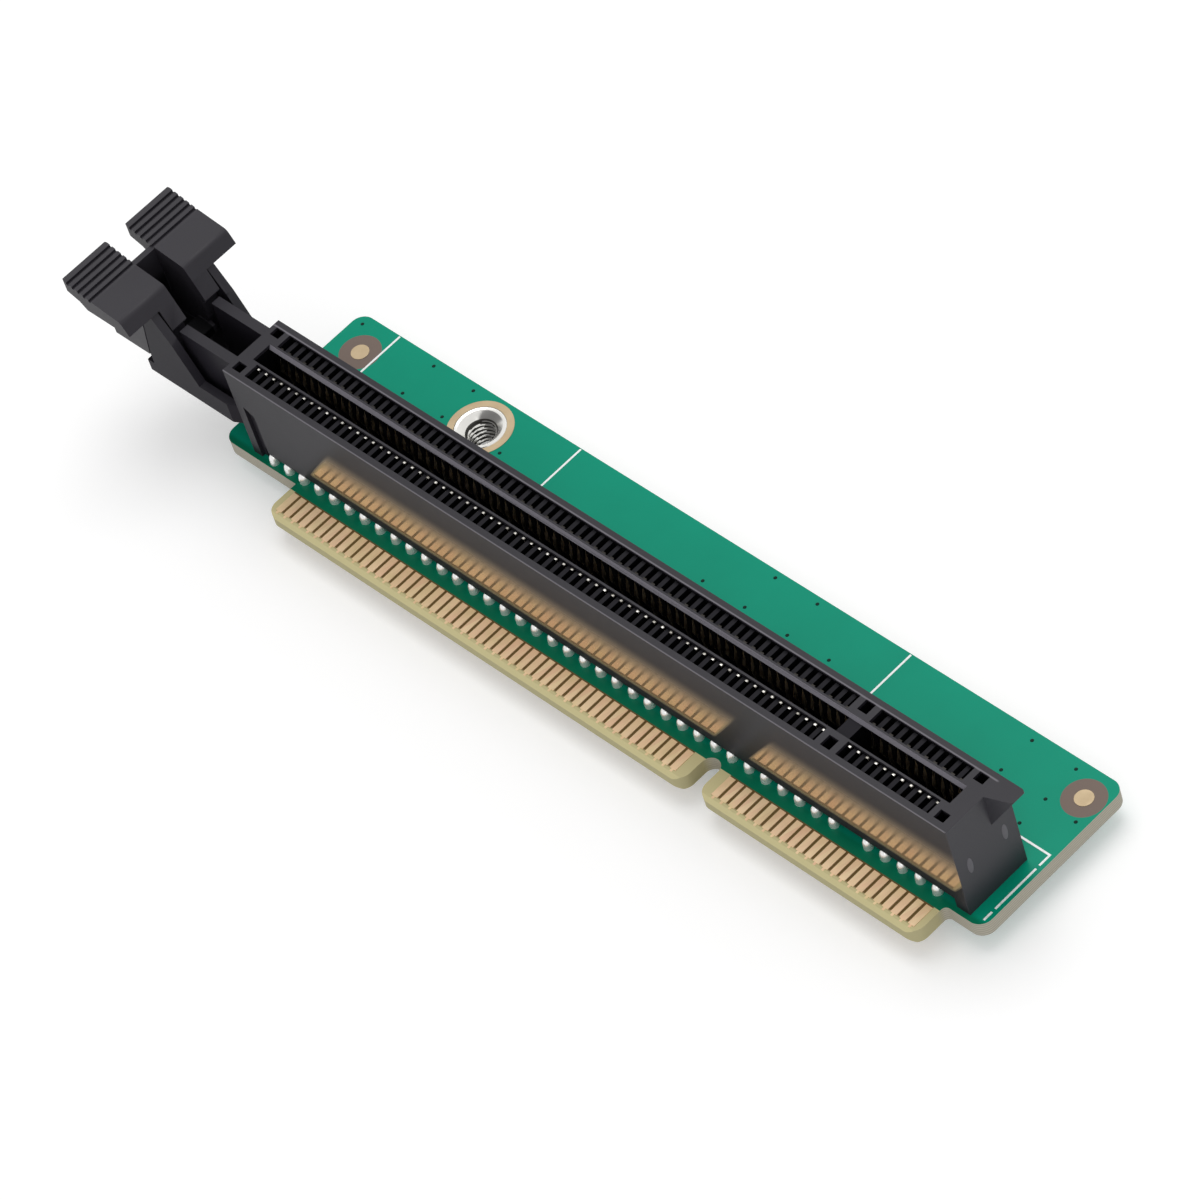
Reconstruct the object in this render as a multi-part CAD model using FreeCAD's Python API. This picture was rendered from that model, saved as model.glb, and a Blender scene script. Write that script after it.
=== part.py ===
import FreeCAD, Part
import math
import os

# PCIe riser card, in millimetres. The origin is the middle of the key notch, on the outer edge of
# the card-edge tab and half way through the board. X runs along the slot, away from the latch,
# Y runs from the tab to the back edge, and Z is up out of the board.

# Circuit board
board_thickness = 1.57
board_depth = 17.8
board_corner_radius = 1.3
left_shoulder = 9.75
right_shoulder = 4.15
tab_depth = 3.8
tab_corner_radius = 1.3
tab_root_radius = 0.5
notch_width = 1.9
notch_depth = 3.7
notch_roundness = 0.99
bevel_run = 0.4
bevel_drop = 0.3

# Gold fingers of the card edge
finger_pitch = 1.0
finger_width = 0.7
finger_thickness = 0.05
finger_tip_gap = 0.7
finger_root_gap = 0.8
finger_side_margin = 0.65
notch_to_finger = 2.5
long_finger_count = 51
short_finger_count = 24

# Slot connector: its centre line, its contacts and where they start
slot_y = 7.8
contact_pitch = 1.0
long_contact_count = 71
short_contact_count = 11
key_to_contact = 1.5
key_x = 14.5

# Slot housing, with heights above the board's top face
housing_width = 7.0
housing_height = 11.15
housing_standoff = 1.2
slot_width = 1.7
slot_mouth_width = 2.1
slot_floor_height = 2.65
slot_end_margin = 1.05
far_end_wall = 1.45
near_end_wall = 1.85
key_rib_width = 1.5
cavity_width = 0.55
side_wall = 0.65
lip_width = 0.2
lip_height = 0.5
pocket_length = 1.08
pocket_depth = 3.0
end_pocket_width = 0.95
end_pocket_offset = 1.43
key_pocket_width = 1.2
foot_length = 1.5
key_foot_length = 2.6
key_foot_width = 2.2
wall_groove_length = 1.3
wall_groove_depth = 0.35
wall_groove_height = 6.8
wall_groove_inset = 1.05
wall_groove_slope = 0.65
end_lug_reach = 2.5
end_lug_drop = 3.75
end_lug_root_width = 2.8
end_lug_tip_width = 1.6
end_lug_radius = 0.5

# Locating pegs of the housing, and what stands below the board
peg_radius = 1.15
peg_clearance = 0.05
peg_tip_chamfer = 0.35
peg_sides = 18
underside_height = 2.0

# Contacts: one strip of bent sheet each
contact_width = 0.4
contact_thickness = 0.2
inner_tail_offset = 1.25
outer_tail_offset = 3.3
tail_length = 1.5
tail_knee_height = 1.0
crest_offset = 0.75
crest_drop = 2.65
tip_gap = 0.08
tip_drop = 0.3

# Solder joints in front of the housing
solder_base_radius = 0.6
solder_top_radius = 0.24
solder_height = 0.85
solder_sides = 5

# Support for the latch at the far end of the housing
support_bottom_height = 3.9
support_floor_thickness = 0.5
support_rear_reach = 2.0
rear_sill_height = 5.3
front_sill_height = 6.3
support_taper_run = 0.9
cheek_gap = 6.2
cheek_thickness = 0.82
cheek_rear_reach = 1.05
cheek_top_rear = 0.2
cheek_top_front = 1.6
cheek_bend_reach = 3.3
cheek_bend_height = 10.7
cheek_bend_radius = 2.0
cheek_foot_reach = 5.45
rail_inner = 1.5
rail_outer = 2.5
rail_drop = 0.25
rail_gap = 0.3

# Retention latch and its hinge
pivot_reach = 10.0
pivot_height = 5.8
pin_radius = 0.68
pin_clearance = 0.07
pin_length = 0.4
pin_root = 0.3
pin_bore_depth = 0.5
latch_side_gap = 0.15
latch_swing_gap = 0.15
leg_gap = 2.4
leg_boss_radius = 1.1
pad_width = 5.45
pad_length = 6.4
pad_tip_rise = 4.75
pad_tip_thickness = 1.3
pad_tip_lean = 0.2
pad_knee_rise = 3.95
pad_bend_reach = 1.05
pad_bend_rise = 3.55
pad_bend_radius = 0.6
pad_front_reach = 1.8
pad_bottom_rise = 2.15
pad_bottom_inset = 2.5
pad_slope_inset = 1.7
pad_slope_rise = 0.7
pad_corner_radius = 0.5
rib_count = 5
rib_pitch = 0.7
rib_groove_width = 0.32
rib_groove_depth = 0.22
web_inner = 2.2
web_reach = 5.8
web_bottom_rise = 0.7
web_top_rise = 0.4
web_slope_run = 1.2
web_slope_rise = 0.5
cross_wall_setback = 2.7
cross_wall_thickness = 0.64
bar_drop = 0.15
leg_top_rise = 0.6
neck_reach = 1.95
neck_rise = 2.6
neck_radius = 1.0
nose_reach = 2.75
nose_rise = 0.15
nose_depth = 0.35
nose_chamfer = 0.2
hook_reach = 2.35
hook_bottom_rise = 0.75
hook_thickness = 1.1
hook_slope = 0.2
hook_root = 0.4
hook_root_reach = 0.5
shelf_thickness = 0.5
overlap = 0.3

# Threaded insert and its solder pads
insert_from_left = 19.25
insert_from_back = 3.55
insert_shank_radius = 2.45
insert_shank_clearance = 0.02
insert_proud = 0.08
insert_body_radius = 2.8
thread_radius = 1.25
insert_mouth_radius = 2.1
insert_pad_radius = 3.15
least_pad_ring = 0.3
pad_copper = 0.04

# Fiducial pads
fiducial_radius = 0.87
fiducial_sides = 24
left_fiducial_inset = (3.35, 3.5)
right_fiducial_inset = (2.15, 2.85)

# Worked out from the sizes above
board_top = board_thickness / 2
board_bottom = -board_thickness / 2
rest_z = board_bottom - underside_height
back_y = tab_depth + board_depth
finger_edge = finger_width / 2 + finger_side_margin
tab_left = -notch_to_finger - (long_finger_count - 1) * finger_pitch - finger_edge
tab_right = notch_to_finger + (short_finger_count - 1) * finger_pitch + finger_edge
board_left = tab_left - left_shoulder
board_right = tab_right + right_shoulder
first_long_x = key_x - key_to_contact
first_short_x = key_x + key_to_contact
slot_left = first_long_x - (long_contact_count - 1) * contact_pitch - slot_end_margin
slot_right = first_short_x + (short_contact_count - 1) * contact_pitch + slot_end_margin
housing_left = slot_left - far_end_wall
housing_right = slot_right + near_end_wall
housing_top = board_top + housing_height
housing_bottom = board_top + housing_standoff
slot_floor = board_top + slot_floor_height
half_housing = housing_width / 2
cavity_outer = half_housing - side_wall
window_inner = slot_mouth_width / 2 + lip_width
lip_bottom = housing_top - lip_height
tip_offset = window_inner + tip_gap + contact_thickness / 2
pivot_x = housing_left - pivot_reach
pivot_z = board_top + pivot_height
cheek_inner = cheek_gap / 2
cheek_outer = cheek_inner + cheek_thickness
support_bottom = board_top + support_bottom_height
support_floor = support_bottom + support_floor_thickness
support_end = pivot_x - support_rear_reach
cheek_foot_x = pivot_x + cheek_foot_reach
taper_x = housing_left - support_taper_run
cheek_rear_x = pivot_x - cheek_rear_reach
rear_sill_top = board_top + rear_sill_height
front_sill_top = board_top + front_sill_height
rail_top = housing_top - rail_drop
pad_bottom = housing_top + pad_bottom_rise
cheek_top = pad_bottom - latch_swing_gap
leg_outer = cheek_inner - latch_side_gap
cross_wall_x = pivot_x - cross_wall_setback
insert_x = board_left + insert_from_left
insert_y = back_y - insert_from_back
insert_top = board_top + insert_proud

# How far a cutting tool runs past the face that it cuts
past = 1.0


# A closed outline in a plane: each corner is (across, up, radius), and place turns it into a point
def rounded_outline(corners, place):
    ends = []
    for index, (across, up, radius) in enumerate(corners):
        corner = FreeCAD.Vector(across, up, 0)
        before = FreeCAD.Vector(*corners[index - 1][:2], 0)
        after = FreeCAD.Vector(*corners[(index + 1) % len(corners)][:2], 0)
        to_before = (before - corner).normalize()
        to_after = (after - corner).normalize()
        half_angle = to_before.getAngle(to_after) / 2
        if radius:
            bisector = (to_before + to_after).normalize()
            setback = radius / math.tan(half_angle)
            middle = corner + bisector * (radius / math.sin(half_angle) - radius)
            ends.append((corner + to_before * setback, middle, corner + to_after * setback))
        else:
            ends.append((corner, None, corner))
    edges = []
    for index, (arrive, middle, leave) in enumerate(ends):
        last_leave = ends[index - 1][2]
        if last_leave.distanceToPoint(arrive) > 1e-4:
            edges.append(Part.LineSegment(place(last_leave), place(arrive)).toShape())
        if middle is not None:
            edges.append(Part.Arc(place(arrive), place(middle), place(leave)).toShape())
    return Part.Wire(Part.__sortEdges__(edges))


# An outline seen from above, given as (x, y, radius), filled from z_low to z_high
def plan_solid(corners, z_low, z_high):
    wire = rounded_outline(corners, lambda point: FreeCAD.Vector(point.x, point.y, z_low))
    return Part.Face(wire).extrude(FreeCAD.Vector(0, 0, z_high - z_low))


# An outline seen along Y, given as (x, z, radius), filled from y_low to y_high
def side_solid(corners, y_low, y_high):
    wire = rounded_outline(corners, lambda point: FreeCAD.Vector(point.x, y_low, point.y))
    return Part.Face(wire).extrude(FreeCAD.Vector(0, y_high - y_low, 0))


# An outline seen along X, given as (y, z, radius), filled from x_low to x_high
def section_solid(corners, x_low, x_high):
    wire = rounded_outline(corners, lambda point: FreeCAD.Vector(x_low, point.x, point.y))
    return Part.Face(wire).extrude(FreeCAD.Vector(x_high - x_low, 0, 0))


def block(x_low, x_high, y_low, y_high, z_low, z_high):
    corner = FreeCAD.Vector(x_low, y_low, z_low)
    return Part.makeBox(x_high - x_low, y_high - y_low, z_high - z_low, corner)


def upright_cylinder(radius, x, y, z_low, z_high):
    return Part.makeCylinder(radius, z_high - z_low, FreeCAD.Vector(x, y, z_low))


def ring(inner_radius, outer_radius, x, y, z_low, z_high):
    outer = upright_cylinder(outer_radius, x, y, z_low, z_high)
    return outer.cut(upright_cylinder(inner_radius, x, y, z_low - past, z_high + past))


# The same shape on the other side of the slot's centre plane
def across_slot(shape):
    return shape.mirror(FreeCAD.Vector(0, slot_y, 0), FreeCAD.Vector(0, 1, 0))


def both_sides(shape):
    return [shape, across_slot(shape)]


def finger_positions(count, direction):
    return [direction * (notch_to_finger + index * finger_pitch) for index in range(count)]


def long_contact_positions():
    return [first_long_x - index * contact_pitch for index in range(long_contact_count)]


def short_contact_positions():
    return [first_short_x + index * contact_pitch for index in range(short_contact_count)]


# Contacts count from the short end, and every second one has its tail in the outer row
def split_rows(positions, first_is_outer):
    outer = positions[0::2] if first_is_outer else positions[1::2]
    inner = positions[1::2] if first_is_outer else positions[0::2]
    return outer, inner


def peg_positions():
    return [key_x, (housing_left + slot_left) / 2]


def make_board():
    half_notch = notch_width / 2
    corners = [
        (board_left, tab_depth, board_corner_radius),
        (tab_left, tab_depth, 0),
        (tab_left, 0, tab_corner_radius),
        (-half_notch, 0, tab_corner_radius),
        (-half_notch, notch_depth, half_notch * notch_roundness),
        (half_notch, notch_depth, half_notch * notch_roundness),
        (half_notch, 0, tab_corner_radius),
        (tab_right, 0, tab_corner_radius),
        (tab_right, tab_depth, tab_root_radius),
        (board_right, tab_depth, board_corner_radius),
        (board_right, back_y, board_corner_radius),
        (board_left, back_y, board_corner_radius),
    ]
    board = plan_solid(corners, board_bottom, board_top)
    slope = bevel_drop / bevel_run
    bevel_corners = [
        (bevel_run, board_top, 0),
        (-past, board_top - bevel_drop - past * slope, 0),
        (-past, board_top + past, 0),
        (bevel_run, board_top + past, 0),
    ]
    top_bevel = section_solid(bevel_corners, tab_left - past, tab_right + past)
    bottom_bevel = top_bevel.mirror(FreeCAD.Vector(0, 0, 0), FreeCAD.Vector(0, 0, 1))
    hole_low = board_bottom - past
    hole_high = board_top + past
    hole_radius = insert_shank_radius + insert_shank_clearance
    cuts = [top_bevel, bottom_bevel]
    cuts.append(upright_cylinder(hole_radius, insert_x, insert_y, hole_low, hole_high))
    for x in peg_positions():
        cuts.append(upright_cylinder(peg_radius + peg_clearance, x, slot_y, hole_low, hole_high))
    return board.cut(cuts)


def make_fingers(positions, z_low):
    y_low = finger_tip_gap
    y_high = tab_depth - finger_root_gap
    half = finger_width / 2
    fingers = [block(x - half, x + half, y_low, y_high, z_low, z_low + finger_thickness) for x in positions]
    return Part.makeCompound(fingers)


# The cavities of one row on the front side: each one opens into the slot below the lip, and the
# ribs between them end in a channel behind the lip
def cavity_tools(positions):
    half = cavity_width / 2
    outer_y = slot_y - cavity_outer
    tools = [block(min(positions) - half, max(positions) + half, outer_y, slot_y - window_inner,
                   lip_bottom, housing_top + past)]
    for x in positions:
        tools.append(block(x - half, x + half, outer_y, slot_y - slot_width / 4, slot_floor, lip_bottom))
    return tools


def slot_tools():
    half_slot = slot_width / 2
    half_mouth = slot_mouth_width / 2
    half_rib = key_rib_width / 2
    y_low = slot_y - half_slot
    y_high = slot_y + half_slot
    long_slot = block(slot_left, key_x - half_rib, y_low, y_high, slot_floor, housing_top + past)
    short_slot = block(key_x + half_rib, slot_right, y_low, y_high, slot_floor, housing_top + past)
    lead_in_corners = [
        (slot_y - half_slot, lip_bottom, 0),
        (slot_y + half_slot, lip_bottom, 0),
        (slot_y + half_mouth, housing_top, 0),
        (slot_y + half_mouth, housing_top + past, 0),
        (slot_y - half_mouth, housing_top + past, 0),
        (slot_y - half_mouth, housing_top, 0),
    ]
    return [long_slot, short_slot, section_solid(lead_in_corners, slot_left, slot_right)]


# Plain square pockets on the front side, beyond the last contacts and beside the key rib
def pocket_tools():
    places = [
        (long_contact_positions()[-1] - end_pocket_offset, end_pocket_width),
        (key_x, key_pocket_width),
        (short_contact_positions()[-1] + end_pocket_offset, end_pocket_width),
    ]
    outer_y = slot_y - cavity_outer
    return [block(x - pocket_length / 2, x + pocket_length / 2, outer_y, outer_y + width,
                  housing_top - pocket_depth, housing_top + past) for x, width in places]


# An upright groove in the front wall near the latch, with a slanted top
def wall_groove_tool():
    x_low = housing_left + wall_groove_inset
    x_high = x_low + wall_groove_length
    groove_top = board_top + wall_groove_height
    corners = [
        (x_low, board_top, 0),
        (x_high, board_top, 0),
        (x_high, groove_top - wall_groove_slope, 0),
        (x_low, groove_top, 0),
    ]
    front = slot_y - half_housing
    return side_solid(corners, front - past, front + wall_groove_depth)


def loop_points(x, y, z, radius, sides):
    points = []
    for index in range(sides + 1):
        angle = 2 * math.pi * index / sides
        points.append(FreeCAD.Vector(x + radius * math.cos(angle), y + radius * math.sin(angle), z))
    return points


# An upright solid with flat sides, through rings of points given as (z, radius)
def faceted_solid(x, y, rings, sides):
    loops = [loop_points(x, y, z, radius, sides) for z, radius in rings]
    outlines = [loops[0], loops[-1]]
    for low, high in zip(loops, loops[1:]):
        for index in range(sides):
            after = index + 1
            outlines.append([low[index], low[after], high[after], high[index], low[index]])
    return Part.Solid(Part.Shell([Part.Face(Part.makePolygon(outline)) for outline in outlines]))


def make_peg(x):
    rings = [
        (rest_z, peg_radius - peg_tip_chamfer),
        (rest_z + peg_tip_chamfer, peg_radius),
        (housing_bottom + housing_standoff / 2, peg_radius),
    ]
    return faceted_solid(x, slot_y, rings, peg_sides)


# The feet carry the housing on the board at both ends and at the key
def make_feet():
    front = slot_y - half_housing
    back = slot_y + half_housing
    low = board_top
    high = housing_bottom
    half_key_foot = key_foot_length / 2
    half_key_width = key_foot_width / 2
    return [
        block(housing_left, housing_left + foot_length, front, back, low, high),
        block(housing_right - foot_length, housing_right, front, back, low, high),
        block(key_x - half_key_foot, key_x + half_key_foot, slot_y - half_key_width,
              slot_y + half_key_width, low, high),
    ]


# A wedge on the top back corner of the near end, flush with the top and narrower at its tip
def make_end_lug():
    root_x = housing_right - near_end_wall / 2
    tip_x = housing_right + end_lug_reach
    low = housing_top - end_lug_drop
    back = slot_y + half_housing
    corners = [
        (root_x, housing_top, 0),
        (tip_x, housing_top, 0),
        (housing_right, low, 0),
        (root_x, low, 0),
    ]
    plan_corners = [
        (root_x, back, 0),
        (tip_x, back, end_lug_radius),
        (tip_x, back - end_lug_tip_width, end_lug_radius),
        (root_x, back - end_lug_root_width, 0),
    ]
    wedge = side_solid(corners, back - end_lug_root_width, back)
    return wedge.common(plan_solid(plan_corners, low - past, housing_top + past))


# The bore for one trunnion, cut into the inner face of a cheek
def trunnion_bore():
    start = FreeCAD.Vector(pivot_x, slot_y - cheek_inner - pin_bore_depth, pivot_z)
    along_y = FreeCAD.Vector(0, 1, 0)
    return Part.makeCylinder(pin_radius + pin_clearance, pin_bore_depth + past, start, along_y)


# A cheek: the plate that holds one trunnion, with a sloping front edge
def make_cheek():
    corners = [
        (cheek_rear_x, support_bottom, 0),
        (cheek_rear_x, pivot_z + web_bottom_rise, 0),
        (pivot_x + cheek_top_rear, cheek_top, 0),
        (pivot_x + cheek_top_front, cheek_top, 0),
        (pivot_x + cheek_bend_reach, board_top + cheek_bend_height, cheek_bend_radius),
        (cheek_foot_x, front_sill_top, 0),
        (cheek_foot_x, support_bottom, 0),
    ]
    return side_solid(corners, slot_y - cheek_outer, slot_y - cheek_inner)


# The open tray between the housing and the cheeks: its sides end in a taper to the housing's width
def make_latch_support():
    floor_corners = [
        (support_end, slot_y - cheek_outer, 0),
        (taper_x, slot_y - cheek_outer, 0),
        (housing_left, slot_y - half_housing, 0),
        (housing_left, slot_y + half_housing, 0),
        (taper_x, slot_y + cheek_outer, 0),
        (support_end, slot_y + cheek_outer, 0),
    ]
    sill_corners = [
        (cheek_foot_x - overlap, slot_y - cheek_outer, 0),
        (taper_x, slot_y - cheek_outer, 0),
        (housing_left, slot_y - half_housing, 0),
        (housing_left, slot_y - cheek_inner, 0),
        (cheek_foot_x - overlap, slot_y - cheek_inner, 0),
    ]
    rear_sill = block(support_end, pivot_x, slot_y - cheek_outer, slot_y - cheek_inner,
                      support_bottom, rear_sill_top)
    front_sill = plan_solid(sill_corners, support_bottom, front_sill_top)
    rail = block(pivot_x + nose_reach + rail_gap, housing_left, slot_y - rail_outer, slot_y - rail_inner,
                 support_bottom, rail_top)
    pieces = [plan_solid(floor_corners, support_bottom, support_floor)]
    for half_piece in (rear_sill, front_sill, make_cheek(), rail):
        pieces += both_sides(half_piece)
    return pieces


def make_housing():
    body = block(housing_left, housing_right, slot_y - half_housing, slot_y + half_housing,
                 housing_bottom, housing_top)
    pieces = make_feet() + make_latch_support() + [make_end_lug()]
    pieces += [make_peg(x) for x in peg_positions()]
    body = body.fuse(pieces).removeSplitter()
    front_tools = pocket_tools() + [trunnion_bore()]
    front_tools += cavity_tools(long_contact_positions()) + cavity_tools(short_contact_positions())
    tools = slot_tools() + [wall_groove_tool()]
    for tool in front_tools:
        tools += both_sides(tool)
    return body.cut(tools).removeSplitter()


# A contact's strip in section: pointed tail, knee, crest against the card, and tip behind the lip.
# The tails of the inner rows go down without a knee
def make_contact(x, side, tail_offset):
    half = contact_thickness / 2
    spine = [
        (crest_offset, housing_top - crest_drop),
        (tip_offset, housing_top - tip_drop),
    ]
    if tail_offset == outer_tail_offset:
        spine.insert(0, (tail_offset, board_top + tail_knee_height))
    tail_end = (slot_y + side * tail_offset, board_bottom - tail_length, 0)
    inner_face = [(slot_y + side * (offset - half), z, 0) for offset, z in spine]
    outer_face = [(slot_y + side * (offset + half), z, 0) for offset, z in reversed(spine)]
    outline = [tail_end] + inner_face + outer_face
    return section_solid(outline, x - contact_width / 2, x + contact_width / 2)


def make_contact_row(positions, side, tail_offset):
    return Part.makeCompound([make_contact(x, side, tail_offset) for x in positions])


# A solder fillet that climbs its tail
def make_solder_joint(x, y):
    rings = [(board_top, solder_base_radius), (board_top + solder_height, solder_top_radius)]
    return faceted_solid(x, y, rings, solder_sides)


def make_solder_row(positions):
    y = slot_y - outer_tail_offset
    return Part.makeCompound([make_solder_joint(x, y) for x in positions])


# One finger pad: a bent plate, high at its ribbed end, with grooves across it
def make_pad():
    tip_x = pivot_x - pad_length
    rear_x = tip_x - pad_tip_lean
    front_x = pivot_x + pad_front_reach
    knee_x = tip_x + (rib_count + 0.5) * rib_pitch
    tip_z = housing_top + pad_tip_rise
    knee_z = housing_top + pad_knee_rise
    corners = [
        (tip_x, tip_z, 0),
        (knee_x, knee_z, 0),
        (pivot_x + pad_bend_reach, housing_top + pad_bend_rise, pad_bend_radius),
        (front_x, pad_bottom, 0),
        (tip_x + pad_bottom_inset, pad_bottom, 0),
        (tip_x + pad_slope_inset, pad_bottom + pad_slope_rise, 0),
        (rear_x, tip_z - pad_tip_thickness, 0),
    ]
    y_high = slot_y - leg_gap / 2
    y_low = y_high - pad_width
    plan_corners = [
        (rear_x, y_low, pad_corner_radius),
        (front_x + past, y_low, 0),
        (front_x + past, y_high, 0),
        (rear_x, y_high, pad_corner_radius),
    ]
    pad = side_solid(corners, y_low, y_high)
    pad = pad.common(plan_solid(plan_corners, pad_bottom - past, tip_z + past))
    slope = (knee_z - tip_z) / (knee_x - tip_x)
    grooves = []
    for index in range(rib_count):
        x = tip_x + rib_pitch * (index + 1)
        x_low = x - rib_groove_width / 2
        groove_bottom = tip_z + slope * (x - tip_x) - rib_groove_depth
        grooves.append(block(x_low, x_low + rib_groove_width, y_low - past, y_high + past,
                             groove_bottom, tip_z + past))
    return pad.cut(grooves)


# One leg: from the bend down its sloping face to the nose, then back under it to the trunnion boss
def make_leg():
    nose_x = pivot_x + nose_reach
    nose_z = housing_top + nose_rise
    leg_top = pad_bottom + leg_top_rise
    web_bottom = pivot_z + web_bottom_rise
    corners = [
        (cross_wall_x, leg_top, 0),
        (pivot_x + pad_bend_reach, leg_top, 0),
        (pivot_x + pad_front_reach, pad_bottom, 0),
        (nose_x, nose_z, 0),
        (nose_x - nose_chamfer, nose_z - nose_depth, 0),
        (pivot_x + neck_reach, nose_z - nose_depth, 0),
        (pivot_x + neck_reach, pivot_z + neck_rise, neck_radius),
        (pivot_x + leg_boss_radius, pivot_z, 0),
        (pivot_x, pivot_z, 0),
        (pivot_x - leg_boss_radius, web_bottom, 0),
        (cross_wall_x, web_bottom, 0),
    ]
    y_low = slot_y - leg_outer
    y_high = slot_y - leg_gap / 2
    plate = side_solid(corners, y_low, y_high)
    along_y = FreeCAD.Vector(0, 1, 0)
    boss_start = FreeCAD.Vector(pivot_x, y_low, pivot_z)
    boss = Part.makeCylinder(leg_boss_radius, y_high - y_low, boss_start, along_y)
    pin_start = FreeCAD.Vector(pivot_x, slot_y - cheek_inner - pin_length, pivot_z)
    pin = Part.makeCylinder(pin_radius, pin_length + latch_side_gap + pin_root, pin_start, along_y)
    return [plate, boss, pin]


# The web under one pad, behind its cheek and flush with it
def make_web():
    rear_x = pivot_x - web_reach
    top_x = pivot_x + cheek_top_rear - latch_swing_gap
    web_bottom = pivot_z + web_bottom_rise
    web_top = pad_bottom + web_top_rise
    corners = [
        (rear_x, web_bottom, 0),
        (cheek_rear_x - latch_swing_gap, web_bottom, 0),
        (top_x, cheek_top, 0),
        (top_x, web_top, 0),
        (rear_x + web_slope_run, web_top, 0),
        (rear_x, web_top + web_slope_rise, 0),
    ]
    return side_solid(corners, slot_y - cheek_outer, slot_y - web_inner)


# The cross wall ties both halves together, and its top edge is the bar between the pads
def make_cross_wall():
    return block(cross_wall_x - cross_wall_thickness, cross_wall_x, slot_y - leg_outer, slot_y + leg_outer,
                 pivot_z + web_bottom_rise, housing_top + pad_knee_rise - bar_drop)


# The hook between the legs that holds the card down, on a shelf that runs back to the cross wall
def make_hook():
    low = pivot_z + hook_bottom_rise
    tip_x = pivot_x + hook_reach
    root_x = pivot_x + hook_root_reach
    corners = [
        (cross_wall_x, low, 0),
        (tip_x, low + hook_slope, 0),
        (tip_x, low + hook_thickness, 0),
        (root_x, low + hook_thickness + hook_root, 0),
        (root_x - shelf_thickness, low + shelf_thickness, 0),
        (cross_wall_x, low + shelf_thickness, 0),
    ]
    half = leg_gap / 2 + overlap
    return side_solid(corners, slot_y - half, slot_y + half)


def make_latch():
    pieces = [make_cross_wall(), make_hook()]
    for half_piece in [make_pad(), make_web()] + make_leg():
        pieces += both_sides(half_piece)
    return pieces[0].fuse(pieces[1:]).removeSplitter()


def make_insert():
    shank = upright_cylinder(insert_shank_radius, insert_x, insert_y, board_bottom, insert_top)
    body = upright_cylinder(insert_body_radius, insert_x, insert_y, rest_z, board_bottom)
    bore = upright_cylinder(thread_radius, insert_x, insert_y, rest_z - past, insert_top + past)
    mouth_depth = insert_mouth_radius - thread_radius
    mouth = Part.makeCone(thread_radius, insert_mouth_radius, mouth_depth,
                          FreeCAD.Vector(insert_x, insert_y, insert_top - mouth_depth))
    return shank.fuse(body).removeSplitter().cut([bore, mouth])


def make_insert_pad(inner_radius, z_low):
    outer_radius = max(insert_pad_radius, inner_radius + least_pad_ring)
    return ring(inner_radius, outer_radius, insert_x, insert_y, z_low, z_low + pad_copper)


def make_fiducials():
    places = [
        (board_left + left_fiducial_inset[0], back_y - left_fiducial_inset[1]),
        (board_right - right_fiducial_inset[0], back_y - right_fiducial_inset[1]),
    ]
    rings = [(board_top, fiducial_radius), (board_top + pad_copper, fiducial_radius)]
    return Part.makeCompound([faceted_solid(x, y, rings, fiducial_sides) for x, y in places])


def make_all():
    long_fingers = finger_positions(long_finger_count, -1)
    short_fingers = finger_positions(short_finger_count, 1)
    finger_bottom_z = board_bottom - finger_thickness
    long_outer, long_inner = split_rows(long_contact_positions(), True)
    short_outer, short_inner = split_rows(short_contact_positions(), False)
    nodes = {
        "circuit_board": make_board(),
        "top_gold_fingers_long": make_fingers(long_fingers, board_top),
        "top_gold_fingers_short": make_fingers(short_fingers, board_top),
        "bottom_gold_fingers_long": make_fingers(long_fingers, finger_bottom_z),
        "bottom_gold_fingers_short": make_fingers(short_fingers, finger_bottom_z),
        "slot_housing": make_housing(),
        "solder_joints_front": make_solder_row(long_outer + short_outer),
        "retention_latch": make_latch(),
        "threaded_insert": make_insert(),
        "insert_pad_top": make_insert_pad(insert_shank_radius + insert_shank_clearance, board_top),
        "insert_pad_bottom": make_insert_pad(insert_body_radius + insert_shank_clearance,
                                             board_bottom - pad_copper),
        "fiducial_pads": make_fiducials(),
    }
    rows = [
        ("outer_long", long_outer, outer_tail_offset),
        ("inner_long", long_inner, inner_tail_offset),
        ("outer_short", short_outer, outer_tail_offset),
        ("inner_short", short_inner, inner_tail_offset),
    ]
    for name, positions, tail_offset in rows:
        nodes["front_contacts_" + name] = make_contact_row(positions, -1, tail_offset)
        nodes["back_contacts_" + name] = make_contact_row(positions, 1, tail_offset)
    return nodes


os.makedirs("parts", exist_ok=True)
for node, shape in make_all().items():
    shape.exportStep(os.path.join("parts", node + ".step"))
    print(node, "solids", len(shape.Solids), "volume", round(shape.Volume, 3), "valid", shape.isValid())
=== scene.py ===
import math
import random
import bmesh
import bpy
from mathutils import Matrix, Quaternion, Vector


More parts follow.
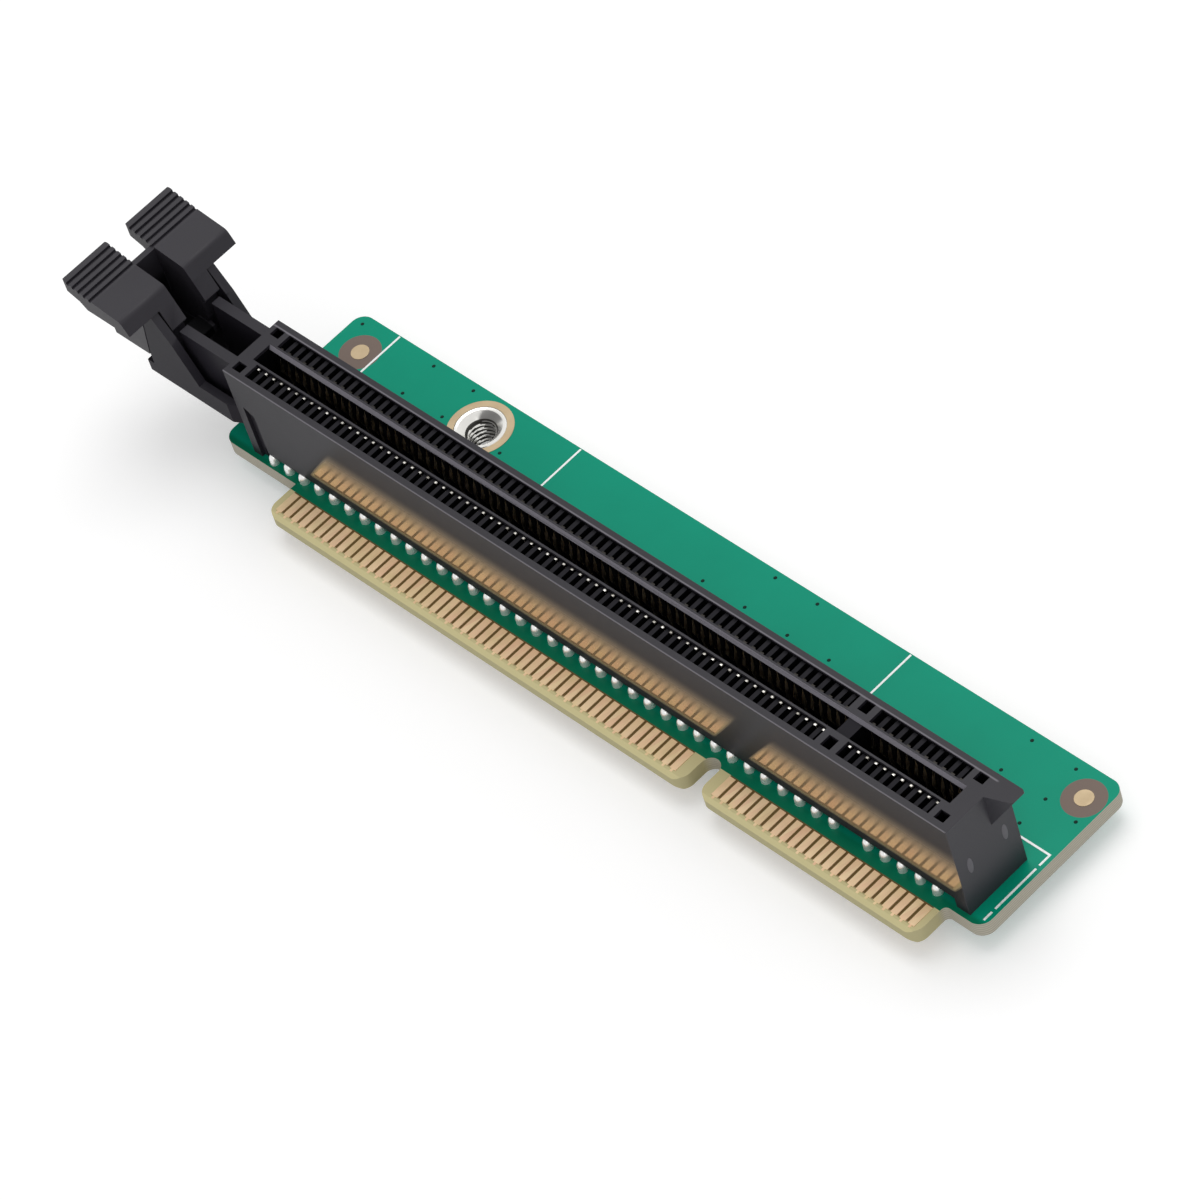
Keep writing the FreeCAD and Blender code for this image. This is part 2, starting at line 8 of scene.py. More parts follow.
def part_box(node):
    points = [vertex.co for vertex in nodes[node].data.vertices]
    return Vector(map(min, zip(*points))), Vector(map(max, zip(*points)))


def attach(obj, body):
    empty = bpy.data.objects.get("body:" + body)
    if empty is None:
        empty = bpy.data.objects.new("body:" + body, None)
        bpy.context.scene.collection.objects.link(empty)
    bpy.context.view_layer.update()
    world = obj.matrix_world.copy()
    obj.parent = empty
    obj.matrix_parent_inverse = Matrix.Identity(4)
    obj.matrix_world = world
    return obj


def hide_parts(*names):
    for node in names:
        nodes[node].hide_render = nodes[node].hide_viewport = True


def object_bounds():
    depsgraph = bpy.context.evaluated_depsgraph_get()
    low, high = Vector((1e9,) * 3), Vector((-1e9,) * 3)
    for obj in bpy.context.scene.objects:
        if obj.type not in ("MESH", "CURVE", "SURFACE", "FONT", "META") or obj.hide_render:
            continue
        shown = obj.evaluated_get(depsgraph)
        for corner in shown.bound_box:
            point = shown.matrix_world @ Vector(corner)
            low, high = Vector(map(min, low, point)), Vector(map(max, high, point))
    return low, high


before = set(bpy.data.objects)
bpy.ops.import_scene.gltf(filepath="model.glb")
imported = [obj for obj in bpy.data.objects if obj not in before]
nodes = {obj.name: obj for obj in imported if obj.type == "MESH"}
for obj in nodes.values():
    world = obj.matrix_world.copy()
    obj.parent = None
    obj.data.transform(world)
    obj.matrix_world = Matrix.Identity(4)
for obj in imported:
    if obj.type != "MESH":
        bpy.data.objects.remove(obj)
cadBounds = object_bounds()
mm = 0.001           # the scene is in metres, and the sizes below are in millimetres
seed = 7
openEnd = -5.0       # mm, in front of and below every face, where a band has no lower end
joinWithin = 0.0005  # mm between points that are one corner of a solid
print("frame loaded,", len(nodes), "solid nodes")


def boxOf(nodeName):  # the low and the high corner of a node's box, in mm
    return [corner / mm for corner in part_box(nodeName)]


def corners(points):  # the low and the high corner of the box round some points
    return [Vector([pick(point[axis] for point in points) for axis in range(3)]) for pick in (min, max)]


def middleOf(box):  # half way between a low and a high corner
    return (box[0] + box[1]) / 2


def islands(nodeName):  # the points of each separate solid in a node, in mm
    form = bmesh.new()
    form.from_mesh(nodes[nodeName].data)
    bmesh.ops.remove_doubles(form, verts=form.verts, dist=joinWithin * mm)
    found = []
    seen = set()
    for start in form.verts:
        if start in seen:
            continue
        seen.add(start)
        waiting = [start]
        points = []
        while waiting:
            vertex = waiting.pop()
            points.append(vertex.co / mm)
            for edge in vertex.link_edges:
                other = edge.other_vert(vertex)
                if other not in seen:
                    seen.add(other)
                    waiting.append(other)
        found.append(points)
    form.free()
    return found


boardBottom, boardTop = [corner.z for corner in boxOf("circuit_board")]
slotMiddle = middleOf(boxOf("slot_housing")).y
fingerGroups = [[corner.x for corner in boxOf(nodeName)]
                for nodeName in ("top_gold_fingers_long", "top_gold_fingers_short")]


def linear(hexColour):  # sRGB hex to linear RGBA
    channels = [int(hexColour[i:i + 2], 16) / 255 for i in (1, 3, 5)]
    return tuple(c / 12.92 if c <= 0.04045 else ((c + 0.055) / 1.055) ** 2.4 for c in channels) + (1.0,)


def perMetre(size):  # the scale of a pattern whose features have this size in mm
    return 1 / (size * mm)


def addNode(tree, kind, settings=None, links=None):  # a node with its settings and its incoming links
    node = tree.nodes.new(kind)

    def inlet(key):  # by its number, or by its name among the sockets in use
        if isinstance(key, int):
            return node.inputs[key]
        return next(socket for socket in node.inputs if socket.enabled and socket.name == key)

    for key, value in (settings or {}).items():
        if isinstance(key, str) and hasattr(node, key):
            setattr(node, key, value)
        else:
            inlet(key).default_value = value
    for key, source in (links or {}).items():
        if isinstance(source, bpy.types.Node):  # a node stands for its first output in use
            source = next(socket for socket in source.outputs if socket.enabled)
        tree.links.new(source, inlet(key))
    return node


# Settings that many nodes below share
mixColour = {"data_type": "RGBA"}
fadeOut = {"To Min": 1.0, "To Max": 0.0, "interpolation_type": "SMOOTHSTEP"}


def newMaterial(name):  # returns the material, its tree and the point in the object's own metres
    material = bpy.data.materials.new(name)
    material.use_nodes = True
    tree = material.node_tree
    tree.nodes.clear()
    return material, tree, addNode(tree, "ShaderNodeTexCoord").outputs["Object"]


def bands(tree, length, spans, soft):  # 1 where a length lies in one of the spans, 0 outside, all in mm
    total = None
    for low, high in spans:
        half = (high - low) / 2
        centre = (low + high) / 2
        away = addNode(tree, "ShaderNodeMath", {"operation": "SUBTRACT", 1: centre * mm}, {0: length})
        away = addNode(tree, "ShaderNodeMath", {"operation": "ABSOLUTE"}, {0: away})
        inside = addNode(tree, "ShaderNodeMapRange",
                         {**fadeOut, "From Min": (half - soft) * mm, "From Max": (half + soft) * mm},
                         {"Value": away})
        total = inside if total is None else addNode(tree, "ShaderNodeMath", {"operation": "ADD"},
                                                     {0: total, 1: inside})
    return total


def region(tree, *conditions):  # 1 where all hold: each is a mask, or a value, a comparison and its limit
    total = None
    for condition in conditions:
        if isinstance(condition, tuple):
            value, comparison, limit = condition
            condition = addNode(tree, "ShaderNodeMath", {"operation": comparison, 1: limit}, {0: value})
        total = condition if total is None else addNode(tree, "ShaderNodeMath", {"operation": "MULTIPLY"},
                                                        {0: total, 1: condition})
    return total


# Camera at the photograph's angle
cameraSetup = {
    "location": (315.287, -187.880, 440.997),  # mm
    "target": (-21.462, 10.599, 0.0),          # mm
    "roll": -19.184,                           # degrees about the line of sight
    "lens": 204.463,                           # mm
    "sensor": 36,                              # mm wide
    "clip": (0.01, 20),                        # m
}


def makeCamera():
    data = bpy.data.cameras.new("photoCamera")
    data.lens = cameraSetup["lens"]
    data.sensor_width = cameraSetup["sensor"]
    data.sensor_fit = "HORIZONTAL"
    data.clip_start, data.clip_end = cameraSetup["clip"]
    camera = bpy.data.objects.new("photoCamera", data)
    bpy.context.scene.collection.objects.link(camera)
    location = Vector(cameraSetup["location"]) * mm
    target = Vector(cameraSetup["target"]) * mm
    aim = (target - location).to_track_quat("-Z", "Y")
    camera.rotation_mode = "QUATERNION"
    camera.location = location
    camera.rotation_quaternion = aim @ Quaternion((0, 0, 1), math.radians(cameraSetup["roll"]))
    bpy.context.scene.camera = camera


studio = {
    "roomColour": "#FFFFFF",
    "worldStrength": 0.62,       # light that the white room gives to matt surfaces
    "floorSize": 3.0,            # m
    "floorColour": "#E4E4E4",
    "floorLift": 0.30,           # what the camera sees added, so that the floor is white outside the shadow
    "overheadPlace": (-0.12, 0.16, 0.62),  # m, a large soft box
    "overheadSize": 0.45,        # m
    "overheadPower": 1.7,        # W
    "sidePlace": (0.42, -0.30, 0.34),
    "sideSize": 0.30,
    "sidePower": 0.25,
}


def makeAreaLamp(name, place, size, power):
    data = bpy.data.lights.new(name, "AREA")
    data.size = size
    data.energy = power
    lamp = bpy.data.objects.new(name, data)
    bpy.context.scene.collection.objects.link(lamp)
    lamp.location = place
    lamp.rotation_mode = "QUATERNION"
    lamp.rotation_quaternion = (middleOf(cadBounds) - Vector(place)).to_track_quat("-Z", "Y")


def seenDirectly(tree):  # 1 for what the camera, a mirror or a glass sees, 0 for light on matt surfaces
    path = addNode(tree, "ShaderNodeLightPath").outputs
    either = addNode(tree, "ShaderNodeMath", {"operation": "MAXIMUM"},
                     {0: path["Is Camera Ray"], 1: path["Is Glossy Ray"]})
    return addNode(tree, "ShaderNodeMath", {"operation": "MAXIMUM"},
                   {0: either, 1: path["Is Transmission Ray"]})


def makeStudio():
    world = bpy.data.worlds.new("whiteRoom")
    bpy.context.scene.world = world
    world.use_nodes = True
    tree = world.node_tree
    tree.nodes.clear()
    strength = addNode(tree, "ShaderNodeMapRange", {"To Min": studio["worldStrength"], "To Max": 1.0},
                       {"Value": seenDirectly(tree)})
    light = addNode(tree, "ShaderNodeBackground", {"Color": linear(studio["roomColour"])},
                    {"Strength": strength})
    addNode(tree, "ShaderNodeOutputWorld", links={"Surface": light})

    material, tree = newMaterial("mattPaperFloor")[:2]
    lift = addNode(tree, "ShaderNodeMath", {"operation": "MULTIPLY", 1: studio["floorLift"]},
                   {0: seenDirectly(tree)})
    paper = addNode(tree, "ShaderNodeBsdfPrincipled",
                    {"Base Color": linear(studio["floorColour"]), "Roughness": 1.0, "Specular IOR Level": 0.0,
                     "Emission Color": linear(studio["roomColour"])}, {"Emission Strength": lift})
    addNode(tree, "ShaderNodeOutputMaterial", links={"Surface": paper})
    half = studio["floorSize"] / 2
    low = cadBounds[0].z
    mesh = bpy.data.meshes.new("paperFloor")
    mesh.from_pydata([(-half, -half, low), (half, -half, low), (half, half, low), (-half, half, low)],
                     [], [(0, 1, 2, 3)])
    mesh.materials.append(material)
    floor = bpy.data.objects.new("paperFloor", mesh)
    bpy.context.scene.collection.objects.link(floor)

    makeAreaLamp("overheadSoftBox", studio["overheadPlace"], studio["overheadSize"], studio["overheadPower"])
    makeAreaLamp("sideSoftBox", studio["sidePlace"], studio["sideSize"], studio["sidePower"])
    bpy.context.scene.view_settings.view_transform = "Standard"


makeCamera()
makeStudio()
print("camera and studio made")


# Circuit board: FR-4 laminate with a printed, cured solder mask. The mask gives an even glossy green,
# the bare laminate a dull olive, and its cut edges show the glass layers.
board = {
    "maskStart": 3.15,             # mm from the tab's edge
    "maskGreen": "#089B7D",
    "maskDeep": "#058E72",
    "inkCloud": 7.14,              # mm, slow changes of depth where the ink lies thicker
    "maskRoughness": 0.30,
    "maskGloss": 0.09,             # low, as the room that it mirrors is all white
    "ior": 1.52,
    "peel": 1.11,                  # mm, orange peel of the cured ink
    "peelDepth": 0.04,             # mm
    "peelStrength": 0.10,
    "paintedShadeOnInk": "#067254",       # painted shade and painted reflection of the black wall, on the ink in front of the housing
    "paintedShadeTo": 4.4,               # mm from the tab's edge
    "paintedShadeSoft": 0.3,             # mm
    "bareLaminate": "#D2C898",
    "laminateRoughness": 0.62,
    "betweenFingers": "#6E5935",   # resin between the fingers, with painted shadow
    "fingerFoot": (0.62, 0.85),    # mm from the tab's edge, none of it to all of it
    "fingerSoft": 0.05,            # mm at both ends of a group
    "cutEdge": "#C2BDAE",
    "cutEdgeLayer": "#A6A192",
    "layerPitch": 0.26,            # mm between glass layers on the cut edges
    "layerRange": (-0.5, 0.5),     # of the wave times the strands, pale to dark
    "strand": 0.625,               # mm, a strand of glass, as its fibres of 0.01 mm are too fine to show
    "tabEdge": "#BFB78E",
    "tabSoft": 0.5,                # mm
    "ringLaminate": "#7C6E66",
    "ringRadius": 2.02,            # mm, bare ring round each fiducial pad
    "flatAbove": 0.93,             # upward share of the normal on the faces, and less on bevel and edges
    "steepBelow": 0.7,             # upward share of the normal on the cut edges
}


def makeBoardMaterial():
    material, tree, point = newMaterial("solderMaskOnLaminate")
    x, y, z = addNode(tree, "ShaderNodeSeparateXYZ", links={0: point}).outputs
    facing = addNode(tree, "ShaderNodeSeparateXYZ", links={0: point.node.outputs["Normal"]}).outputs
    up = addNode(tree, "ShaderNodeMath", {"operation": "ABSOLUTE"}, {0: facing["Z"]})
    away = None
    for points in islands("fiducial_pads"):
        centre = middleOf(corners(points)) * mm
        centre = addNode(tree, "ShaderNodeCombineXYZ", {0: centre.x, 1: centre.y}, {2: z})
        fromPad = addNode(tree, "ShaderNodeVectorMath", {"operation": "DISTANCE"}, {0: point, 1: centre})
        away = fromPad if away is None else addNode(tree, "ShaderNodeMath", {"operation": "MINIMUM"},
                                                    {0: away, 1: fromPad})
    ring = region(tree, (away, "LESS_THAN", board["ringRadius"] * mm), (z, "GREATER_THAN", 0.0))
    notRing = addNode(tree, "ShaderNodeMath", {"operation": "SUBTRACT", 0: 1.0}, {1: ring})
    masked = region(tree, (up, "GREATER_THAN", board["flatAbove"]),
                    (y, "GREATER_THAN", board["maskStart"] * mm), notRing)

    # The ink is greener where it lies thicker; in front of the housing it gets painted shade and a painted
    # reflection of the black wall
    cloud = addNode(tree, "ShaderNodeTexNoise", {"Scale": perMetre(board["inkCloud"]), "Detail": 3.0,
                                                 "Roughness": 0.55}, {"Vector": point})
    green = addNode(tree, "ShaderNodeMix", {**mixColour, "A": linear(board["maskDeep"]),
                                            "B": linear(board["maskGreen"])}, {"Factor": cloud})
    paintedShade = bands(tree, y, [(openEnd, board["paintedShadeTo"])], board["paintedShadeSoft"])
    green = addNode(tree, "ShaderNodeMix", {**mixColour, "B": linear(board["paintedShadeOnInk"])},
                    {"Factor": paintedShade, "A": green})

    # The bare laminate gets painted shadow between the fingers, where resin also darkens it, and is darker
    # round the fiducial pads
    beside = bands(tree, x, fingerGroups, board["fingerSoft"])
    inward = addNode(tree, "ShaderNodeMapRange", {"From Min": board["fingerFoot"][0] * mm,
                                                  "From Max": board["fingerFoot"][1] * mm}, {"Value": y})
    bare = addNode(tree, "ShaderNodeMix", {**mixColour, "A": linear(board["bareLaminate"]),
                                           "B": linear(board["betweenFingers"])},
                   {"Factor": region(tree, inward, beside)})
    bare = addNode(tree, "ShaderNodeMix", {**mixColour, "B": linear(board["ringLaminate"])},
                   {"Factor": ring, "A": bare})

    # The cut edges are striped by the layers, and unevenly, as strands run both along and across them
    turns = 2 * math.pi / (board["layerPitch"] * mm)
    layers = addNode(tree, "ShaderNodeMath", {"operation": "MULTIPLY", 1: turns}, {0: z})
    layers = addNode(tree, "ShaderNodeMath", {"operation": "SINE"}, {0: layers})
    strands = addNode(tree, "ShaderNodeTexNoise", {"Scale": perMetre(board["strand"]), "Detail": 2.0},
                      {"Vector": point})
    layers = addNode(tree, "ShaderNodeMath", {"operation": "MULTIPLY"}, {0: layers, 1: strands})
    layers = addNode(tree, "ShaderNodeMapRange", {"From Min": board["layerRange"][0],
                                                  "From Max": board["layerRange"][1]}, {"Value": layers})
    edge = addNode(tree, "ShaderNodeMix", {**mixColour, "A": linear(board["cutEdge"]),
                                           "B": linear(board["cutEdgeLayer"])}, {"Factor": layers})
    tab = bands(tree, y, [(openEnd, board["maskStart"])], board["tabSoft"])
    edge = addNode(tree, "ShaderNodeMix", {**mixColour, "B": linear(board["tabEdge"])},
                   {"Factor": tab, "A": edge})
    steep = region(tree, (up, "LESS_THAN", board["steepBelow"]))
    bare = addNode(tree, "ShaderNodeMix", mixColour, {"Factor": steep, "A": bare, "B": edge})

    colour = addNode(tree, "ShaderNodeMix", mixColour, {"Factor": masked, "A": bare, "B": green})
    rough = addNode(tree, "ShaderNodeMapRange", {"To Min": board["laminateRoughness"],
                                                 "To Max": board["maskRoughness"]}, {"Value": masked})
    peel = addNode(tree, "ShaderNodeTexNoise", {"Scale": perMetre(board["peel"]), "Detail": 2.0},
                   {"Vector": point})
    bump = addNode(tree, "ShaderNodeBump", {"Strength": board["peelStrength"],
                                            "Distance": board["peelDepth"] * mm}, {"Height": peel})
    shader = addNode(tree, "ShaderNodeBsdfPrincipled",
                     {"IOR": board["ior"], "Specular IOR Level": board["maskGloss"]},
                     {"Base Color": colour, "Roughness": rough, "Normal": bump})
    addNode(tree, "ShaderNodeOutputMaterial", links={"Surface": shader})
    return material


# Gold fingers: hard gold plated over nickel, polished by the plating bath, each a little different in tint
goldFinger = {
    "pale": "#FADDB2",
    "pink": "#F2CAA4",
    "olive": "#E2CD98",
    "oliveRange": (0.45, 0.75),    # of the clouds, none to most
    "oliveShare": 0.8,
    "cloud": 2.38,                 # mm, tarnish and fingerprints
    "wipe": (0.111, 2.0, 0.333),   # mm, marks of the sockets it was in, drawn wider than the real 0.02 mm
    "roughness": (0.32, 0.48),
    "metallic": 0.3,
}


def makeFingerMaterial():
    material, tree, point = newMaterial("hardGoldPlating")
    island = addNode(tree, "ShaderNodeNewGeometry").outputs["Random Per Island"]
    tint = addNode(tree, "ShaderNodeMix", {**mixColour, "A": linear(goldFinger["pale"]),
                                           "B": linear(goldFinger["pink"])}, {"Factor": island})
    cloud = addNode(tree, "ShaderNodeTexNoise", {"Scale": perMetre(goldFinger["cloud"]), "Detail": 3.0},
                    {"Vector": point})
    amount = addNode(tree, "ShaderNodeMapRange",
                     {"From Min": goldFinger["oliveRange"][0], "From Max": goldFinger["oliveRange"][1],
                      "To Max": goldFinger["oliveShare"]}, {"Value": cloud})
    colour = addNode(tree, "ShaderNodeMix", {**mixColour, "B": linear(goldFinger["olive"])},
                     {"Factor": amount, "A": tint})
    stretched = addNode(tree, "ShaderNodeMapping", {"Scale": [perMetre(size) for size in goldFinger["wipe"]]},
                        {"Vector": point})
    wiped = addNode(tree, "ShaderNodeTexNoise", {"Scale": 1.0, "Detail": 2.0}, {"Vector": stretched})
    rough = addNode(tree, "ShaderNodeMapRange", {"To Min": goldFinger["roughness"][0],
                                                 "To Max": goldFinger["roughness"][1]}, {"Value": wiped})
    shader = addNode(tree, "ShaderNodeBsdfPrincipled", {"Metallic": goldFinger["metallic"]},
                     {"Base Color": colour, "Roughness": rough})
    addNode(tree, "ShaderNodeOutputMaterial", links={"Surface": shader})
    return material


# Slot housing: black glass-filled liquid-crystal polymer, injection moulded, charcoal with a satin gloss.
# The long front wall comes off a polished mould plate and mirrors the fingers at a low angle, with a painted
# reflection of the fingers laid on it. The cavities are matt and get painted shade, and the slanted lead-in
# of the slot, the walls' upper edges and the near end wall get painted highlights.
# Heights are in mm up from the board's middle, and places across and along the slot in mm too.
housing = {
    "black": "#232127",
    "flowGrey": "#2B292F",
    "flow": 3.85,                  # mm, where the melt flowed together
    "roughness": 0.36,
    "gloss": 0.24,                 # satin faces
    "ior": 1.5,
    "grain": 0.192,                # mm, texture of the mould, drawn coarser than the real 0.03 mm
    "grainDepth": 0.02,            # mm
    "grainStrength": 0.12,
    "frontFacing": -0.95,          # Y share of the normal on the front wall, and lower
    "wallGloss": 0.10,             # front wall above the polished strip
    "wallPlane": 4.32,             # the front wall lies in front of this
    "polishFoot": (3.0, 3.4),      # heights, none to full
    "polishTop": (4.4, 9.2),       # heights, full to none
    "polishSoft": 0.25,            # mm at the ends of the strip
    "polishedRoughness": 0.03,
    "polishGloss": 0.5,
    "mirrorLean": 0.763,           # mm that the polished strip shifts along the slot for each mm up
    # painted reflection of the fingers on the front wall, in their gold tint
    "paintedReflectionTint": "#FADBB0",
    "paintedReflectionFall": 3.0,             # how fast the painted reflection fades as the eye moves round to the front
    "paintedReflectionGain": 2.25,
    "slotEnds": (-59.4, 28.6),
    "slotSoft": 0.02,              # mm
    "cavityHalfWidth": 2.87,       # from the slot's middle
    "cavityBelow": 11.6,
    # painted shade inside the cavities, below the height above
    "cavity": "#0B0B0D",
    "cavityGloss": 0.03,
    "ribTop": "#28272B",
    "ribTopAbove": 11.0,
    "ribTopFacing": 0.9,           # Z share of the normal, and higher
    # painted highlight on the slot's slanted lead-in
    "leadIn": "#8C8992",
    "leadInFacing": (-0.85, 0.25),  # Y share of the normal and lower, Z share and higher
    "topEdge": "#6A676E",          # painted highlight: thin pale lines along the walls' upper edges
    "topEdgeBands": ((3.6, 4.36), (10.62, 10.78)),
    "topEdgeSoft": (0.05, 0.2),    # mm across and along the slot
    "topEdgeAbove": 11.82,
    "topEdgeEnds": (-61.0, 28.8),
    # painted light: the near end wall is painted paler, as if lit from its side
    "endGrey": "#323137",
    "endFrom": 28.75,
    "endFacing": 0.5,              # Z share of the normal on the end wall, and lower
    "supportEnd": -59.5,           # the latch's support lies beyond
    "supportFacing": -0.5,         # Y share of the normal, and lower
    "supportGloss": 0.03,          # its outer side, the dullest face of the moulding
    "edgeRound": 0.05,             # mm
}


def makeHousingMaterial():
    material, tree, point = newMaterial("mouldedBlackPolymer")
    x, y, z = addNode(tree, "ShaderNodeSeparateXYZ", links={0: point}).outputs
    facing = addNode(tree, "ShaderNodeSeparateXYZ", links={0: point.node.outputs["Normal"]}).outputs

    # The polished strip follows the fingers that it mirrors, seen from the front at a low angle; a painted
    # reflection of the fingers in their gold tint lies on it, fading as the eye moves round to the front
    foot = addNode(tree, "ShaderNodeMapRange", {"From Min": housing["polishFoot"][0] * mm,
                                                "From Max": housing["polishFoot"][1] * mm}, {"Value": z})
    fade = addNode(tree, "ShaderNodeMapRange", {**fadeOut, "From Min": housing["polishTop"][0] * mm,
                                                "From Max": housing["polishTop"][1] * mm}, {"Value": z})
    leaning = addNode(tree, "ShaderNodeMath", {"operation": "MULTIPLY_ADD", 1: -housing["mirrorLean"]},
                      {0: z, 2: x})
    shift = housing["mirrorLean"] * boardTop
    strips = bands(tree, leaning, [(low - shift, high - shift) for low, high in fingerGroups],
                   housing["polishSoft"])
    wall = region(tree, (facing["Y"], "LESS_THAN", housing["frontFacing"]))
    polish = region(tree, wall, (y, "LESS_THAN", housing["wallPlane"] * mm), foot, fade, strips)
    slant = addNode(tree, "ShaderNodeLayerWeight", {"Blend": 0.5}).outputs["Facing"]
    slant = addNode(tree, "ShaderNodeMath", {"operation": "POWER", 1: housing["paintedReflectionFall"]}, {0: slant})
    slant = addNode(tree, "ShaderNodeMath", {"operation": "MULTIPLY", 1: housing["paintedReflectionGain"],
                                             "use_clamp": True}, {0: slant})
    paintedReflection = region(tree, polish, slant)

    # Painted light and shade: painted shade in the cavities, with the rib tops kept near the plain charcoal,
    # painted highlights on the lead-in and along the top edges, and painted light on the paler end wall
    across = addNode(tree, "ShaderNodeMath", {"operation": "SUBTRACT", 1: slotMiddle * mm}, {0: y})
    across = addNode(tree, "ShaderNodeMath", {"operation": "ABSOLUTE"}, {0: across})
    inside = region(tree, (across, "LESS_THAN", housing["cavityHalfWidth"] * mm),
                    bands(tree, x, [housing["slotEnds"]], housing["slotSoft"]))
    cavity = region(tree, inside, (z, "LESS_THAN", housing["cavityBelow"] * mm))
    ribTop = region(tree, cavity, (facing["Z"], "GREATER_THAN", housing["ribTopFacing"]),
                    (z, "GREATER_THAN", housing["ribTopAbove"] * mm))
    # painted highlight on the slanted lead-in
    leadIn = region(tree, inside, (facing["Y"], "LESS_THAN", housing["leadInFacing"][0]),
                    (facing["Z"], "GREATER_THAN", housing["leadInFacing"][1]))
    acrossSoft, alongSoft = housing["topEdgeSoft"]
    # painted highlight along the walls' upper edges
    topEdge = region(tree, bands(tree, y, housing["topEdgeBands"], acrossSoft),
                     (z, "GREATER_THAN", housing["topEdgeAbove"] * mm),
                     bands(tree, x, [housing["topEdgeEnds"]], alongSoft))
    # painted light on the near end wall
    endWall = region(tree, (x, "GREATER_THAN", housing["endFrom"] * mm),
                     (facing["Z"], "LESS_THAN", housing["endFacing"]))
    support = region(tree, (facing["Y"], "LESS_THAN", housing["supportFacing"]),
                     (x, "LESS_THAN", housing["supportEnd"] * mm))

    flow = addNode(tree, "ShaderNodeTexNoise",
                   {"Scale": perMetre(housing["flow"]), "Detail": 4.0, "Distortion": 0.6}, {"Vector": point})
    colour = addNode(tree, "ShaderNodeMix", {**mixColour, "A": linear(housing["black"]),
                                             "B": linear(housing["flowGrey"])}, {"Factor": flow})
    for shade, mask in (("cavity", cavity), ("ribTop", ribTop), ("leadIn", leadIn), ("topEdge", topEdge),
                        ("endGrey", endWall), ("paintedReflectionTint", paintedReflection)):
        colour = addNode(tree, "ShaderNodeMix", {**mixColour, "B": linear(housing[shade])},
                         {"Factor": mask, "A": colour})
    gloss = addNode(tree, "ShaderNodeMapRange", {"To Min": housing["gloss"], "To Max": housing["wallGloss"]},
                    {"Value": wall})
    for level, mask in (("supportGloss", support), ("polishGloss", polish), ("cavityGloss", cavity)):
        gloss = addNode(tree, "ShaderNodeMapRange", {"To Max": housing[level]},
                        {"Value": mask, "To Min": gloss})
    rough = addNode(tree, "ShaderNodeMapRange", {"To Min": housing["roughness"],
                                                 "To Max": housing["polishedRoughness"]}, {"Value": polish})
    grain = addNode(tree, "ShaderNodeTexNoise", {"Scale": perMetre(housing["grain"]), "Detail": 2.0},
                    {"Vector": point})
    calm = addNode(tree, "ShaderNodeMapRange", {"To Min": housing["grainStrength"], "To Max": 0.0},
                   {"Value": polish})
    bump = addNode(tree, "ShaderNodeBump", {"Distance": housing["grainDepth"] * mm},
                   {"Height": grain, "Strength": calm})
    shader = addNode(tree, "ShaderNodeBsdfPrincipled", {"IOR": housing["ior"]},
                     {"Base Color": colour, "Roughness": rough, "Specular IOR Level": gloss,
                      "Metallic": paintedReflection, "Normal": bump})
    addNode(tree, "ShaderNodeOutputMaterial", links={"Surface": shader})
    return material


# Latch: black nylon, moulded against a finely eroded steel face, so a little greyer and duller.
# Between the legs the face is matt, and painted shade makes it deeper there.
latch = {
    "black": "#28262B",
    "grey": "#302E34",
    "flow": 3.33,                  # mm, where the melt flowed together
    "roughness": (0.40, 0.52),
    "gloss": 0.22,
    "ior": 1.53,
    "grain": 0.238,                # mm, pits of the eroded steel, drawn coarser than the real 0.05 mm
    "grainDepth": 0.03,            # mm
    "grainStrength": 0.22,
    # painted shade between the legs
    "inner": "#0E0E10",
    "innerGloss": 0.05,
    "innerHalfWidth": 1.16,        # mm from the slot's middle
    "innerBelow": 12.6,            # mm up from the board's middle
    "innerSoft": (0.04, 0.8),      # mm across the slot and up
    "edgeRound": 0.10,             # mm
}


def makeLatchMaterial():
    material, tree, point = newMaterial("mouldedBlackNylon")
    y, z = addNode(tree, "ShaderNodeSeparateXYZ", links={0: point}).outputs[1:]
    flow = addNode(tree, "ShaderNodeTexNoise", {"Scale": perMetre(latch["flow"]), "Detail": 4.0},
                   {"Vector": point})
    colour = addNode(tree, "ShaderNodeMix", {**mixColour, "A": linear(latch["black"]),
                                             "B": linear(latch["grey"])}, {"Factor": flow})
    sides = (slotMiddle - latch["innerHalfWidth"], slotMiddle + latch["innerHalfWidth"])
    acrossSoft, upSoft = latch["innerSoft"]
    # Painted shade between the legs, deepest low down
    inner = region(tree, bands(tree, y, [sides], acrossSoft),
                   bands(tree, z, [(openEnd, latch["innerBelow"])], upSoft))
    colour = addNode(tree, "ShaderNodeMix", {**mixColour, "B": linear(latch["inner"])},
                     {"Factor": inner, "A": colour})
    gloss = addNode(tree, "ShaderNodeMapRange", {"To Min": latch["gloss"], "To Max": latch["innerGloss"]},
                    {"Value": inner})
    rough = addNode(tree, "ShaderNodeMapRange", {"To Min": latch["roughness"][0],
                                                 "To Max": latch["roughness"][1]}, {"Value": flow})
    grain = addNode(tree, "ShaderNodeTexNoise", {"Scale": perMetre(latch["grain"]), "Detail": 3.0},
                    {"Vector": point})
    bump = addNode(tree, "ShaderNodeBump", {"Strength": latch["grainStrength"],
                                            "Distance": latch["grainDepth"] * mm}, {"Height": grain})
    shader = addNode(tree, "ShaderNodeBsdfPrincipled", {"IOR": latch["ior"]},
                     {"Base Color": colour, "Roughness": rough, "Specular IOR Level": gloss, "Normal": bump})
    addNode(tree, "ShaderNodeOutputMaterial", links={"Surface": shader})
    return material


